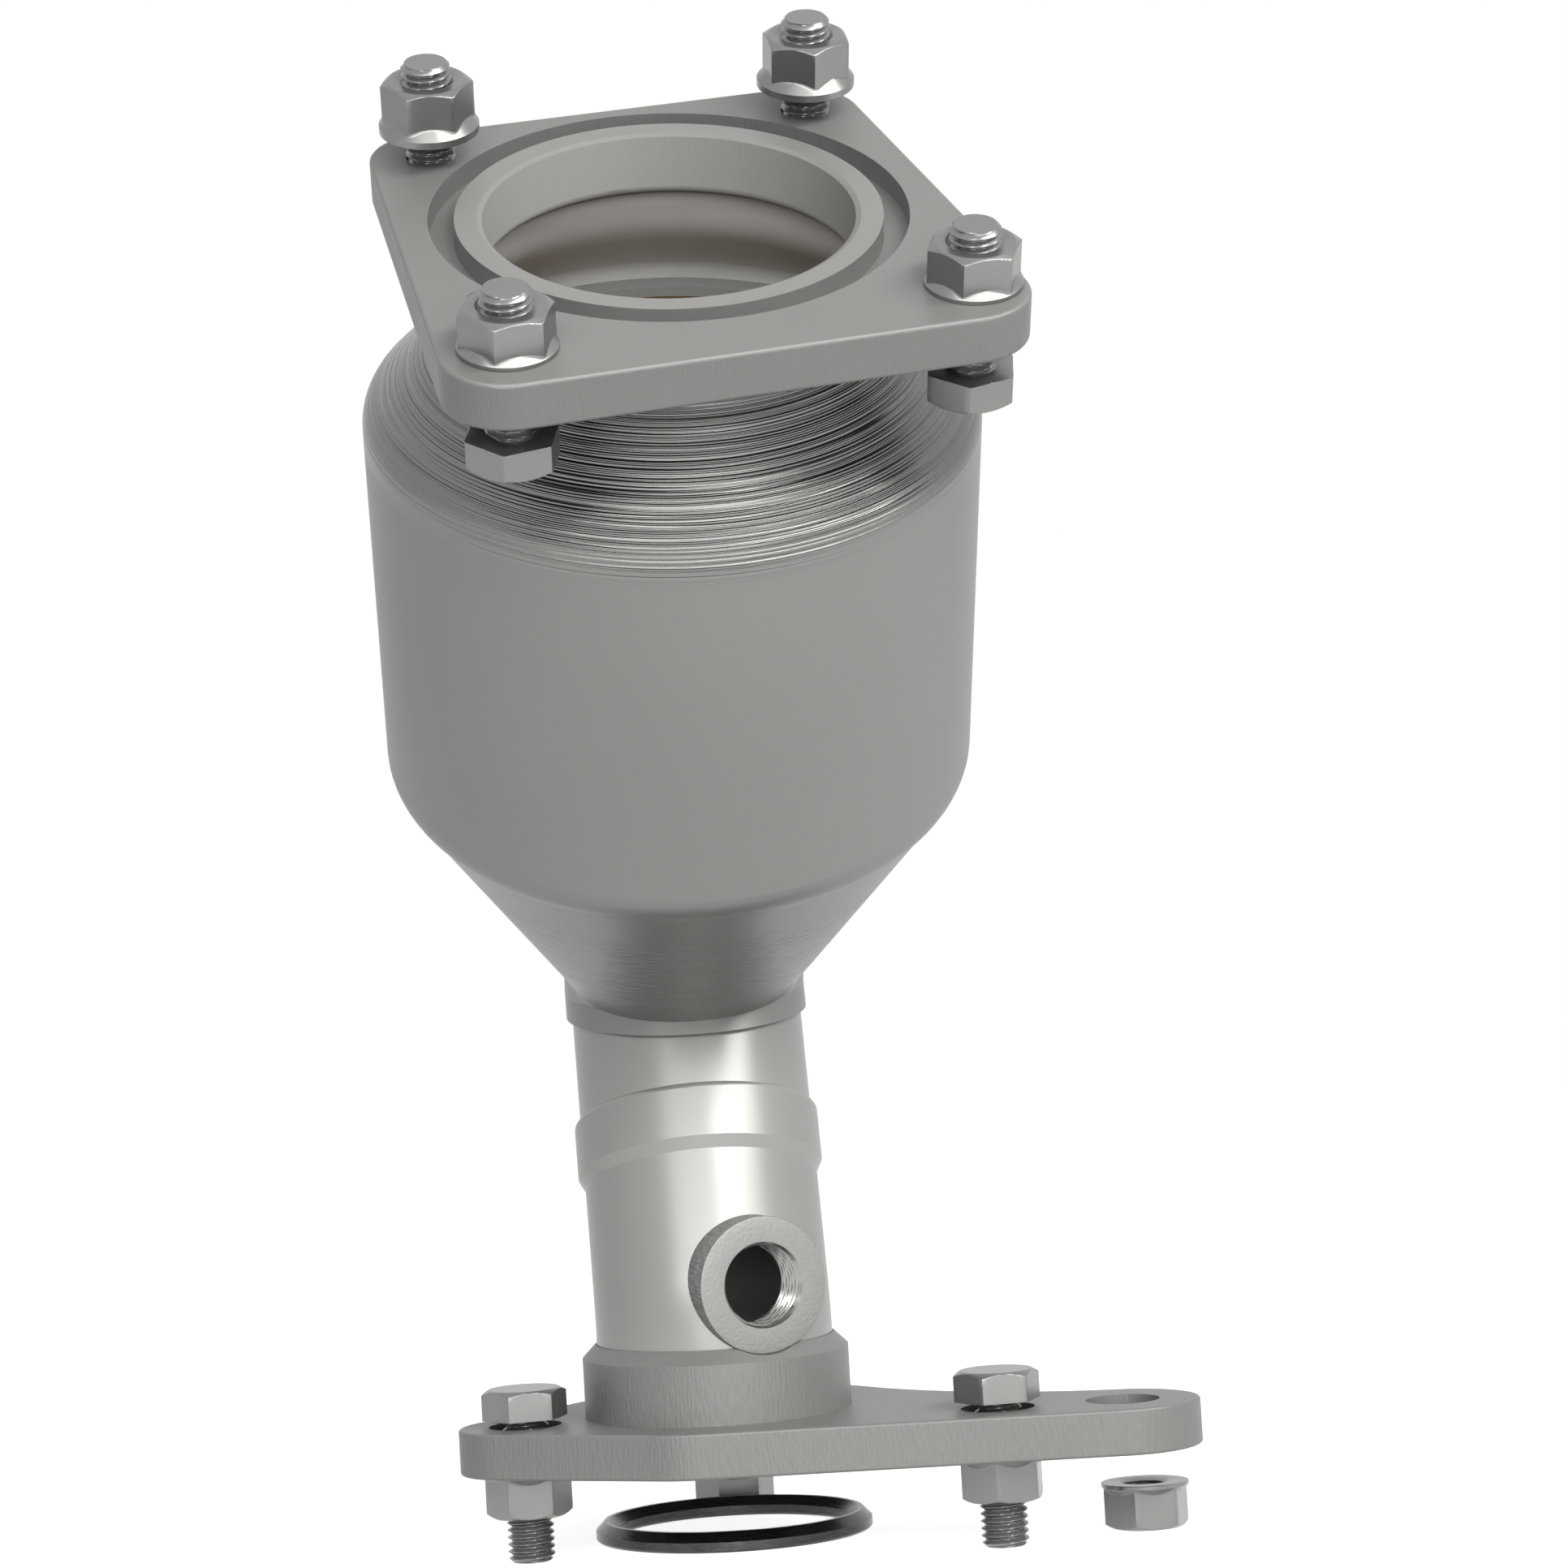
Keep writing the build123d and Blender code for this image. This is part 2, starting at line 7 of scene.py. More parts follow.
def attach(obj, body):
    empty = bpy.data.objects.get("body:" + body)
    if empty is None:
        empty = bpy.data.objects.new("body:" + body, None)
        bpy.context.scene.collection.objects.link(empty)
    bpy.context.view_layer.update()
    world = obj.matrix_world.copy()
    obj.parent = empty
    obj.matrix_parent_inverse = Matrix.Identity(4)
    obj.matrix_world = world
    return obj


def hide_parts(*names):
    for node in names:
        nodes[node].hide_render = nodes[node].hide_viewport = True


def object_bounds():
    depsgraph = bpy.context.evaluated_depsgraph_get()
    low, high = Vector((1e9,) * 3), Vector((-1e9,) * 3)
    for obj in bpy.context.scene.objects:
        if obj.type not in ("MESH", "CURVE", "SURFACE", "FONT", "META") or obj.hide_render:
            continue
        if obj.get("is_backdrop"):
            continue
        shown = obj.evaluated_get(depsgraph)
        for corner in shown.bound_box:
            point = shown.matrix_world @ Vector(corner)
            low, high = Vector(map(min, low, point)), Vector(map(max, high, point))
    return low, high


# Looks of the catalytic converter around its CAD frame. Lengths are written in millimetres and
# turned into metres by MM, angles in degrees. Threads and the honeycomb's cells are meshes made
# here, and grain, mill lines and spun ridges are relief in the materials.
MM = 0.001

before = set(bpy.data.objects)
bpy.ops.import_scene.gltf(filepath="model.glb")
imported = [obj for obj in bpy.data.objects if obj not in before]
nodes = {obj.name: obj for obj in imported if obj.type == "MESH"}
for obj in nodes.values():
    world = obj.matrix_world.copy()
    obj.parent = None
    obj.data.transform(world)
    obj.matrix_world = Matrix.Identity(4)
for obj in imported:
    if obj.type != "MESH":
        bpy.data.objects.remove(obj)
cad_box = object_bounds()

# Places, as in the solids
PIPE_TILT, PIPE_TURN, BEND_HEIGHT, PIPE_LONG = 19.3, 7.3, 29.35, 75.4
CAN_TILT, CAN_TURN, CAN_LONG, INLET_TURN = 37.84, 4.54, 189.1, 15.3
OUTLET_THICK, INLET_THICK = 9.5, 9.4

# Sensor boss: its place on the pipe, its size and its thread
BUNG_HEIGHT, BUNG_TURN, BUNG_REACH, BUNG_LONG, BUNG_RADIUS = 37.5, 24.6, 28.6, 10.0, 14.35
BUNG_MAJOR, BUNG_TAP, BUNG_RUN_OUT, BUNG_ROWS = 9.0, 8.19, 1.0, 90
BUNG_BREAK, BUNG_BREAK_MIDDLE, BUNG_FOOT_BREAK = 0.45, 0.13, 0.05

# Threads. FLANK makes the wave of a thread taller and CREST lowers it, and what then stands out
# of its 0 to 1 range is cut off, which leaves flat crests and roots.
PITCH, THREAD_RADIUS, THREAD_DEPTH = 1.5, 4.95, 0.92
FLANK, CREST = 1.3, 0.15
SHANK_ROWS, BORE_ROWS, TIP_CHAMFER = 12, 10, 0.9

# Hexagons, and the small steps of their profiles that keep edges crisp
HEX_FLAT, HEX_CHAMFER_RADIUS, HEX_CHAMFER_SLOPE, HEAD_HIGH = 8.0, 7.55, 30, 6.4
CORNER_WORN, CHAMFER_ROWS, SIDE_ROWS = 0.08, 14, 5
CROWN_MIDDLE, CROWN_STEP, HEAD_FOOT, UNDERSIDE_STEP, SHANK_STEP = 0.5, 0.25, 0.12, 0.15, 0.05

# Nuts: height, flange's radius and flange's thickness
OUTLET_NUT, INLET_NUT, STUD_NUT = (9.5, 9.35, 0.8), (8.6, 9.35, 0.8), (10.6, 9.9, 1.5)
NUT_PLAY, NUT_MOUTH, NUT_SHALLOW = 0.1, 0.5, 0.12
NUT_CROWN_STEP, NUT_HEX_STEP, FLANGE_BREAK, FLANGE_ROWS = 0.2, 0.05, 0.12, 12

# Where the fasteners sit: on the outlet plate, in the inlet plate's two rows, and loose
LEFT_LOBE, RIGHT_BOLT, BACK_LOBE = (-41.0, -9.0), (58.8, -23.5), (1.0, 58.0)
OUTLET_BOLT_LONG, HEAD_LIFT = 30.0, 1.5
BOLT_ROW, INLET_BOLT_LONG, INLET_BOLT_TIP = -46.0, 29.0, 12.0
STUD_ROW, STUD_TIP, STUD_NUT_LIFT = 38.4, 19.9, 5.65
SPARE_NUT, SPARE_NUT_TURN = (89.9, -7.3), 10.0
GASKET_MIDDLE = (1.55, 17.0)

# Honeycomb
BRICK_RADIUS, BRICK_TOP, BRICK_LONG = 55.5, -45.6, 71.4
CELL, CELL_WALL, CELL_DEEP, CELL_MARGIN = 1.27, 0.2, 3.0, 1.1
SKIN_WALL, SKIN_DROP, SKIN_BREAK = 1.6, 0.02, 0.3

# Camera: place and axes in the frame, and the focal length of the photograph
CAMERA_PLACE = (21.77174, -743.29503, 103.90125)
CAMERA_RIGHT = (0.99835, 0.00304, -0.05742)
CAMERA_DOWN = (-0.0575, 0.0527, -0.99695)
CAMERA_AHEAD = (0.0, 0.99861, 0.05279)
LENS, SENSOR, CAMERA_REACH = 78.6, 36.0, 100.0

TURNS = 96


def unit(v):
    """A vector divided by its length"""
    v = np.array(v, float)
    return v / np.linalg.norm(v)


class Place:
    """An origin and three axes, in millimetres of the frame"""

    def __init__(self, origin, x_dir, z_dir):
        self.origin = np.array(origin, float)
        self.z = unit(z_dir)
        self.x = unit(np.array(x_dir, float) - self.z * np.dot(x_dir, self.z))
        self.y = np.cross(self.z, self.x)

    def at(self, x, y, z):
        return self.origin + x * self.x + y * self.y + z * self.z


def seat(base, x, y, z, corner=0.0, upside_down=False):
    """A place on a base, with its x towards a corner of the hexagon there"""
    ahead = base.at(x + cos(radians(corner)), y + sin(radians(corner)), z)
    return Place(base.at(x, y, z), ahead - base.at(x, y, z), -base.z if upside_down else base.z)


base = Place((0, 0, 0), (1, 0, 0), (0, 0, 1))
pipe_way = np.array([-sin(radians(PIPE_TURN)), cos(radians(PIPE_TURN)), 0])
pipe_up = pipe_way * sin(radians(PIPE_TILT)) + np.array([0, 0, cos(radians(PIPE_TILT))])
pipe = Place((0, 0, BEND_HEIGHT), (1, 0, 0), pipe_up)
elbow = pipe.at(0, 0, PIPE_LONG)
can_up = np.array([
    sin(radians(CAN_TILT)) * sin(radians(CAN_TURN)),
    -sin(radians(CAN_TILT)) * cos(radians(CAN_TURN)),
    cos(radians(CAN_TILT)),
])
can = Place(elbow + can_up * CAN_LONG, (1, 0, 0), can_up)
inlet = seat(can, 0, 0, 0, INLET_TURN)
bung_way = np.array([sin(radians(BUNG_TURN)), -cos(radians(BUNG_TURN)), 0])
bung_foot = pipe.origin + pipe_up * ((BUNG_HEIGHT - BEND_HEIGHT) / pipe_up[2])
bung = Place(bung_foot + bung_way * BUNG_REACH, np.cross(bung_way, (0, 0, -1)), bung_way)

# The surface under the converter is the plane through the tips of the three outlet bolts
tips = [
    np.array([*LEFT_LOBE, OUTLET_THICK + HEAD_LIFT - OUTLET_BOLT_LONG]),
    np.array([*RIGHT_BOLT, OUTLET_THICK + HEAD_LIFT - OUTLET_BOLT_LONG]),
    np.array([*BACK_LOBE, OUTLET_THICK - OUTLET_BOLT_LONG]),
]
surface_up = unit(np.cross(tips[1] - tips[0], tips[2] - tips[0]))
surface = Place((0, 0, tips[0] @ surface_up / surface_up[2]), (1, 0, 0), surface_up)


# Meshes

def mesh_piece(name, points, faces, sharp=32.0):
    """An object from points in millimetres and faces, smooth but for its sharp edges"""
    mesh = bpy.data.meshes.new(name)
    mesh.from_pydata((points * MM).tolist(), [], faces)
    mesh.validate()
    mesh.shade_smooth()
    mesh.set_sharp_from_angle(angle=radians(sharp))
    piece = bpy.data.objects.new(name, mesh)
    bpy.context.scene.collection.objects.link(piece)
    return piece


def lathe(name, place, radius, height, wrap):
    """A turned surface from radius[row, turn] and height[row, turn]. A point is the place's origin
    plus radius times the cosine and sine of its turn along x and y, plus height along z. The rows
    close into a ring where wrap is true, and end in two poles where it is false."""
    rows, turns = radius.shape
    angle = np.arange(turns) * 2 * pi / turns
    x, y = radius * np.cos(angle), radius * np.sin(angle)
    points = (
        place.origin + x[..., None] * place.x + y[..., None] * place.y + height[..., None] * place.z
    ).reshape(-1, 3)
    steps = rows if wrap else rows - 1
    row, turn = np.meshgrid(np.arange(steps), np.arange(turns), indexing="ij")
    beside, below = (turn + 1) % turns, (row + 1) % rows
    quads = np.stack(
        [row * turns + turn, row * turns + beside, below * turns + beside, below * turns + turn], -1
    )
    faces = quads.reshape(-1, 4)[:, ::-1].tolist()
    if not wrap:
        first, last = len(points), len(points) + 1
        points = np.vstack([points, place.at(0, 0, height[0, 0]), place.at(0, 0, height[-1, 0])])
        ring = np.arange(turns)
        ahead = (ring + 1) % turns
        top = np.stack([np.full(turns, first), ring, ahead], -1)
        end = (rows - 1) * turns
        foot = np.stack([np.full(turns, last), end + ahead, end + ring], -1)
        faces += top.tolist() + foot.tolist()
    return mesh_piece(name, points, faces)


def hexagon(turns=TURNS):
    """Radius of a hexagon at each turn, with a corner at turn 0: the flat's distance divided by
    the cosine of the angle to the middle of the side, cut where the corners are worn"""
    angle = np.arange(turns) * 2 * pi / turns
    corner = HEX_FLAT / cos(pi / 6) - CORNER_WORN
    return np.minimum(HEX_FLAT / np.cos(angle % (pi / 3) - pi / 6), corner)


def thread(height, core, depth, pitch=PITCH, turns=TURNS):
    """Radius of a helical thread: the core plus the depth times a triangle wave of height over
    pitch less the turn, made FLANK times as high, lowered by CREST and kept within 0 and 1"""
    phase = height[:, None] / pitch - np.arange(turns)[None, :] / turns
    wave = np.abs(2 * (phase % 1) - 1)
    return core + depth * np.clip(FLANK * wave - CREST, 0, 1)


def rows_of(pairs, turns=TURNS):
    """Rows of a plain turned profile from (radius, height) pairs"""
    pairs = np.array(pairs, float)
    return np.repeat(pairs[:, :1], turns, 1), np.repeat(pairs[:, 1:], turns, 1)


def hex_rows(high, foot):
    """Rows of a hexagon from its top down to its foot: the radius is the smaller one of the
    hexagon's and of a turned cone that starts at the chamfer and drops by its slope"""
    corner = HEX_FLAT / cos(pi / 6)
    cone = np.linspace(HEX_CHAMFER_RADIUS, corner, CHAMFER_ROWS)
    drop = (cone - HEX_CHAMFER_RADIUS) * tan(radians(HEX_CHAMFER_SLOPE))
    sides = np.linspace(high - drop[-1], foot, SIDE_ROWS)[1:]
    radius = np.concatenate([cone, np.full(len(sides), corner)])
    height = np.concatenate([high - drop, sides])
    return np.minimum(radius[:, None], hexagon()), np.repeat(height[:, None], TURNS, 1)


def threaded_rows(top, tip, radius):
    """Rows of a threaded shank from its top down to its tip: the radius is the smaller one of the
    thread's and of a 45 degree cone at the tip"""
    z = np.linspace(top, tip, int(abs(top - tip) / PITCH * SHANK_ROWS))
    r = thread(z, radius - THREAD_DEPTH, THREAD_DEPTH)
    cone = radius - TIP_CHAMFER + (z - tip)
    return np.minimum(r, cone[:, None]), np.repeat(z[:, None], TURNS, 1)


def stack(*groups):
    """Groups of rows, one after another"""
    return np.vstack([g[0] for g in groups]), np.vstack([g[1] for g in groups])


def bolt(name, place, long):
    """A hexagon bolt with its head's underside on its place: a flat crown, the hexagon, the
    underside and a threaded shank, as one profile"""
    crown = rows_of([(CROWN_MIDDLE, HEAD_HIGH), (HEX_CHAMFER_RADIUS - CROWN_STEP, HEAD_HIGH)])
    underside = rows_of([(HEX_FLAT - UNDERSIDE_STEP, 0.0), (THREAD_RADIUS + SHANK_STEP, 0.0)])
    radius, height = stack(
        crown, hex_rows(HEAD_HIGH, HEAD_FOOT), underside, threaded_rows(0.0, -long, THREAD_RADIUS)
    )
    return lathe(name, place, radius, height, wrap=False)


def nut(name, place, high, flange_radius, flange_thick):
    """A nut with a washer flange: outside, the radius is the larger one of the hexagon's and of
    the flange's 45 degree cone, and inside it is a helical thread's"""
    skirt = np.linspace(flange_thick, flange_thick + flange_radius - HEX_FLAT, FLANGE_ROWS)[::-1]
    cone = flange_radius - (skirt - flange_thick)
    outer = np.maximum(cone[:, None], hexagon()), np.repeat(skirt[:, None], TURNS, 1)
    bore = THREAD_RADIUS + NUT_PLAY
    z = np.linspace(NUT_MOUTH, high - NUT_MOUTH, int(high / PITCH * BORE_ROWS))
    turned = thread(z, bore - THREAD_DEPTH + NUT_SHALLOW, THREAD_DEPTH)
    radius, height = stack(
        (turned, np.repeat(z[:, None], TURNS, 1)),
        rows_of([(bore + NUT_MOUTH, high), (HEX_CHAMFER_RADIUS - NUT_CROWN_STEP, high)]),
        hex_rows(high, skirt[0] + NUT_HEX_STEP),
        outer,
        rows_of([
            (flange_radius, flange_thick - FLANGE_BREAK), (flange_radius, FLANGE_BREAK),
            (flange_radius - FLANGE_BREAK, 0.0), (bore + NUT_MOUTH, 0.0),
        ]),
    )
    return lathe(name, place, radius, height, wrap=True)


def stud(name, place, foot, tip):
    """A stud threaded from end to end"""
    radius, height = threaded_rows(foot, tip, THREAD_RADIUS)
    return lathe(name, place, radius, height, wrap=False)


def sensor_boss(name):
    """A thick ring with a plain outside and a chamfered mouth. Inside, the radius is the tap's
    plus a helical thread that fades out over the last millimetre at the pipe."""
    z = np.linspace(-BUNG_LONG + 0.1, -(BUNG_MAJOR - BUNG_TAP), BUNG_ROWS)
    fade = np.clip((z + BUNG_LONG) / BUNG_RUN_OUT, 0, 1)[:, None]
    turned = BUNG_TAP + thread(z, 0.0, BUNG_MAJOR - BUNG_TAP) * fade
    radius, height = stack(
        (turned, np.repeat(z[:, None], TURNS, 1)),
        rows_of([
            (BUNG_MAJOR, 0.0), (BUNG_RADIUS - BUNG_BREAK, 0.0),
            (BUNG_RADIUS - BUNG_BREAK_MIDDLE, -BUNG_BREAK_MIDDLE), (BUNG_RADIUS, -BUNG_BREAK),
            (BUNG_RADIUS, -BUNG_LONG + BUNG_FOOT_BREAK),
            (BUNG_RADIUS - BUNG_FOOT_BREAK, -BUNG_LONG), (BUNG_TAP + 0.1, -BUNG_LONG),
        ]),
    )
    return lathe(name, bung, radius, height, wrap=True)


def honeycomb(name):
    """The brick: a turned skin, and a top face that is a lattice of square cells. Each cell is one
    template, a square frame at the top, four walls down and a floor, moved by the cell's size
    times its column and row."""
    half, open_half = CELL / 2, (CELL - CELL_WALL) / 2
    square = np.array([(-1, -1), (1, -1), (1, 1), (-1, 1)])
    template = np.vstack([
        np.c_[square * half, np.zeros(4)],
        np.c_[square * open_half, np.zeros(4)],
        np.c_[square * open_half, np.full(4, -CELL_DEEP)],
    ])
    side = np.arange(4)
    ahead = (side + 1) % 4
    quads = np.vstack([
        np.stack([side, ahead, 4 + ahead, 4 + side], -1),
        np.stack([4 + side, 4 + ahead, 8 + ahead, 8 + side], -1),
        np.array([[8, 9, 10, 11]]),
    ])
    reach = int(BRICK_RADIUS / CELL) + 1
    column, row = np.meshgrid(np.arange(-reach, reach + 1), np.arange(-reach, reach + 1))
    centres = np.stack([column.ravel() * CELL, row.ravel() * CELL], -1)
    centres = centres[np.hypot(*centres.T) < BRICK_RADIUS - CELL_MARGIN]
    shift = np.c_[centres, np.full(len(centres), BRICK_TOP)]
    spots = (template[None] + shift[:, None]).reshape(-1, 3)
    faces = (quads[None] + 12 * np.arange(len(centres))[:, None, None]).reshape(-1, 4)
    skin, z = rows_of([
        (BRICK_RADIUS - SKIN_WALL, BRICK_TOP - CELL_DEEP),
        (BRICK_RADIUS - SKIN_WALL, BRICK_TOP - SKIN_DROP),
        (BRICK_RADIUS - SKIN_BREAK, BRICK_TOP - SKIN_DROP),
        (BRICK_RADIUS, BRICK_TOP - SKIN_BREAK),
        (BRICK_RADIUS, BRICK_TOP - BRICK_LONG),
    ])
    body = lathe(name + "_skin", can, skin, z, wrap=False)
    points = can.origin + spots @ np.array([can.x, can.y, can.z])
    cells = mesh_piece(name, points, faces.tolist())
    return body, cells


# Colours
STEEL, STEEL_DARK = (0.27, 0.264, 0.253), (0.25, 0.244, 0.234)
PIPE, PIPE_DARK = (0.34, 0.333, 0.32), (0.32, 0.313, 0.30)
PLATE, PLATE_DARK = (0.228, 0.223, 0.214), (0.206, 0.202, 0.193)
BOSS, BOSS_DARK = (0.31, 0.304, 0.293), (0.30, 0.294, 0.283)
ZINC, ZINC_DARK = (0.24, 0.236, 0.228), (0.21, 0.207, 0.2)
GRAPHITE, GRAPHITE_DARK = (0.10, 0.10, 0.102), (0.03, 0.03, 0.03)
WASHCOAT, WASHCOAT_DARK = (0.22, 0.13, 0.035), (0.055, 0.035, 0.012)
FIBRE, WIRE = (0.72, 0.70, 0.64), (0.50, 0.495, 0.485)
# The two colours of the insides below are painted light: the insides of the can and the neck ring
# are coloured much lighter than their steel, to stand in for light that doesn't reach into them.
CAN_INSIDE_PAINTED_LIGHT, NECK_INSIDE_PAINTED_LIGHT = (0.90, 0.89, 0.87), (0.40, 0.393, 0.38)
# Painted shade: the factor that darkens the ridged shoulder and neck under the inlet plate.
RIDGE_PAINTED_SHADE = (0.7, 0.7, 0.7)

# Sizes of patterns along a place's x, y and z, in millimetres
STREAKS, GRAIN, CAST_PATCHES = (0.5, 0.5, 3.0), (0.8, 0.8, 0.8), (16, 16, 16)
MILL_LINES, SPUN_PATCHES, SCRATCH_LINES = (9, 9, 0.22), (40, 40, 40), (7, 7, 0.45)
ZINC_GRAIN, ZINC_PATCHES = (3.0, 3.0, 0.25), (8, 8, 8)
GRAPHITE_GRAIN, WASHCOAT_PATCHES = (2.5, 2.5, 0.4), (3, 3, 3)
FIBRE_SIZE, WIRE_SIZE = 0.6, 0.4

# Spun ridges and scratches: heights along the can, and the lengths over which they fade
RIDGE_SPAN, RIDGE_FADE_LOW, RIDGE_FADE_HIGH = (-48.0, -9.0), 8, 3
RIDGE_AROUND, RIDGE_ACROSS, RIDGE_DEEP, SHOULDER_LEAN = 150, 0.42, 0.75, 0.7
SCRATCH_SPAN, SCRATCH_FADE, SCRATCH_DEEP = (-178, -132), 12, 0.4
MILL_DEEP = 0.004

# Finishes: how metallic, and roughness
CAST_METALLIC, TURNED_METALLIC, SPUN_METALLIC, RIDGE_METALLIC = 0.25, 0.9, 0.35, 1.0
SPUN_ROUGHNESS, RIDGE_ROUGHNESS = (0.36, 0.42), 0.24
TURNED_ROUGHNESS, INSIDE_ROUGHNESS = (0.46, 0.24), 0.6
EDGE_STREAKS, EDGE_LEAN = 9, 0.3

# Least radius of the insides that a material treats by themselves
CAN_HOLLOW, NECK_HOLLOW, BOSS_HOLLOW = 20, 30, 2


# Materials

def new_tree(name):
    """A material and its empty node tree"""
    material = bpy.data.materials.new(name)
    material.use_nodes = True
    tree = material.node_tree
    tree.nodes.clear()
    return material, tree


def node(tree, kind, **settings):
    """A new shader node with its settings"""
    made = tree.nodes.new(kind)
    for key, value in settings.items():
        setattr(made, key, value)
    return made


def plug(tree, value, socket):
    """Sets a socket to a number or links it to another socket"""
    if isinstance(value, bpy.types.NodeSocket):
        tree.links.new(value, socket)
    else:
        socket.default_value = value


def calc(tree, operation, a, b=0.0):
    """A sum, product or other operation on two numbers or sockets"""
    made = node(tree, "ShaderNodeMath", operation=operation)
    plug(tree, a, made.inputs[0])
    plug(tree, b, made.inputs[1])
    return made.outputs[0]


def ramp(tree, value, low, high, to_low=0.0, to_high=1.0, smooth=True):
    """A value from low to high turned into to_low to to_high and kept within them"""
    made = node(tree, "ShaderNodeMapRange", clamp=True)
    if smooth:
        made.interpolation_type = "SMOOTHSTEP"
    for socket, number in zip(made.inputs, (value, low, high, to_low, to_high)):
        plug(tree, number, socket)
    return made.outputs[0]


def lean_to(tree, vector, axis):
    """The dot product of a socket's vector and an axis"""
    made = node(tree, "ShaderNodeVectorMath", operation="DOT_PRODUCT")
    tree.links.new(vector, made.inputs[0])
    made.inputs[1].default_value = tuple(axis)
    return made.outputs["Value"]


def local(tree, place, scales):
    """Object coordinates in a place's axes, as a vector whose parts are divided by scales in mm"""
    coordinate = node(tree, "ShaderNodeTexCoord").outputs["Object"]
    moved = node(tree, "ShaderNodeVectorMath", operation="SUBTRACT")
    tree.links.new(coordinate, moved.inputs[0])
    moved.inputs[1].default_value = tuple(place.origin * MM)
    joined = node(tree, "ShaderNodeCombineXYZ")
    for socket, axis, scale in zip(joined.inputs, (place.x, place.y, place.z), scales):
        tree.links.new(lean_to(tree, moved.outputs[0], axis / (scale * MM)), socket)
    return joined.outputs[0]


def part_of(tree, vector, index):
    """One of a vector's three parts"""
    split = node(tree, "ShaderNodeSeparateXYZ")
    tree.links.new(vector, split.inputs[0])
    return split.outputs[index]


def noise(tree, vector, detail):
    """Noise whose waves are about one unit of the vector long"""
    made = node(tree, "ShaderNodeTexNoise")
    tree.links.new(vector, made.inputs["Vector"])
    made.inputs["Scale"].default_value = 1.0
    made.inputs["Detail"].default_value = detail
    return made.outputs[0]


def bump(tree, height, deep, normal=None):
    """A bump whose height runs from 0 to deep millimetres"""
    made = node(tree, "ShaderNodeBump")
    made.inputs["Strength"].default_value = 1.0
    made.inputs["Distance"].default_value = deep * MM
    tree.links.new(height, made.inputs["Height"])
    if normal is not None:
        tree.links.new(normal, made.inputs["Normal"])
    return made.outputs[0]


def outside_of(tree, value):
    """One less a 0 to 1 value"""
    return calc(tree, "SUBTRACT", 1.0, value)


def shade(tree, colours, blend, roughness, metallic, normal):
    """The shader: colour and roughness run between the two of each pair by a 0 to 1 blend"""
    shader = node(tree, "ShaderNodeBsdfPrincipled")
    mix = node(tree, "ShaderNodeMix", data_type="RGBA")
    tree.links.new(blend, mix.inputs["Factor"])
    mix.inputs["A"].default_value = (*colours[0], 1)
    mix.inputs["B"].default_value = (*colours[1], 1)
    tree.links.new(mix.outputs["Result"], shader.inputs["Base Color"])
    tree.links.new(ramp(tree, blend, 0, 1, *roughness, smooth=False), shader.inputs["Roughness"])
    shader.inputs["Metallic"].default_value = metallic
    tree.links.new(normal, shader.inputs["Normal"])
    out = node(tree, "ShaderNodeOutputMaterial")
    tree.links.new(shader.outputs[0], out.inputs["Surface"])
    return shader


def blend_into(tree, shader, socket, blend, first, last):
    """Runs a shader's number from first to last by a 0 to 1 blend"""
    tree.links.new(ramp(tree, blend, 0, 1, first, last, smooth=False), shader.inputs[socket])


def paint_light_inside(tree, shader, blend, colour):
    """Mixes another colour, dull and not metallic, into a shader by a 0 to 1 blend; used to paint
    light onto insides with a lighter colour
    """
    mix = node(tree, "ShaderNodeMix", data_type="RGBA")
    old = shader.inputs["Base Color"].links[0].from_socket
    tree.links.new(blend, mix.inputs["Factor"])
    tree.links.new(old, mix.inputs["A"])
    mix.inputs["B"].default_value = (*colour, 1)
    tree.links.new(mix.outputs["Result"], shader.inputs["Base Color"])
    for socket, value in (("Metallic", 0.0), ("Roughness", INSIDE_ROUGHNESS)):
        held = shader.inputs[socket]
        old = held.links[0].from_socket if held.links else held.default_value
        blend_into(tree, shader, socket, blend, old, value)


def inside_of(tree, place, least):
    """1 on faces that look at a place's axis from at least so many millimetres, 0 elsewhere: the
    normal's lean away from the axis, times the distance from it, is under minus that length"""
    normal = node(tree, "ShaderNodeNewGeometry").outputs["Normal"]
    spot = local(tree, place, (1, 1, 1))
    parts = [
        calc(tree, "MULTIPLY", lean_to(tree, normal, axis), part_of(tree, spot, index))
        for index, axis in enumerate((place.x, place.y))
    ]
    return calc(tree, "LESS_THAN", calc(tree, "ADD", *parts), -least)


def edges_of(tree, place):
    """1 on faces that stand along a place's axis, 0 on those across it"""
    lean = lean_to(tree, node(tree, "ShaderNodeNewGeometry").outputs["Normal"], place.z)
    return calc(tree, "LESS_THAN", calc(tree, "ABSOLUTE", lean), EDGE_LEAN)


def ring_path(tree, place, around, across):
    """Coordinates for rings about an axis that keep their spacing from a neck out over a
    shoulder: the height less a share of the radius runs along the surface and is divided by
    across, and x and y change slowly and are divided by around"""
    spot = local(tree, place, (1, 1, 1))
    x, y, z = (part_of(tree, spot, index) for index in range(3))
    squares = calc(tree, "ADD", calc(tree, "MULTIPLY", x, x), calc(tree, "MULTIPLY", y, y))
    reach = calc(tree, "SQRT", squares)
    along = calc(tree, "SUBTRACT", z, calc(tree, "MULTIPLY", reach, SHOULDER_LEAN))
    made = node(tree, "ShaderNodeCombineXYZ")
    for socket, (value, size) in zip(made.inputs, ((x, around), (y, around), (along, across))):
        tree.links.new(calc(tree, "DIVIDE", value, size), socket)
    return made.outputs[0]


def between(tree, value, span, fade_low, fade_high):
    """1 between two heights and 0 beyond them, with a soft fade inside each end"""
    low, high = span
    rise = ramp(tree, value, low, low + fade_low)
    return calc(tree, "MULTIPLY", rise, ramp(tree, value, high, high - fade_high))


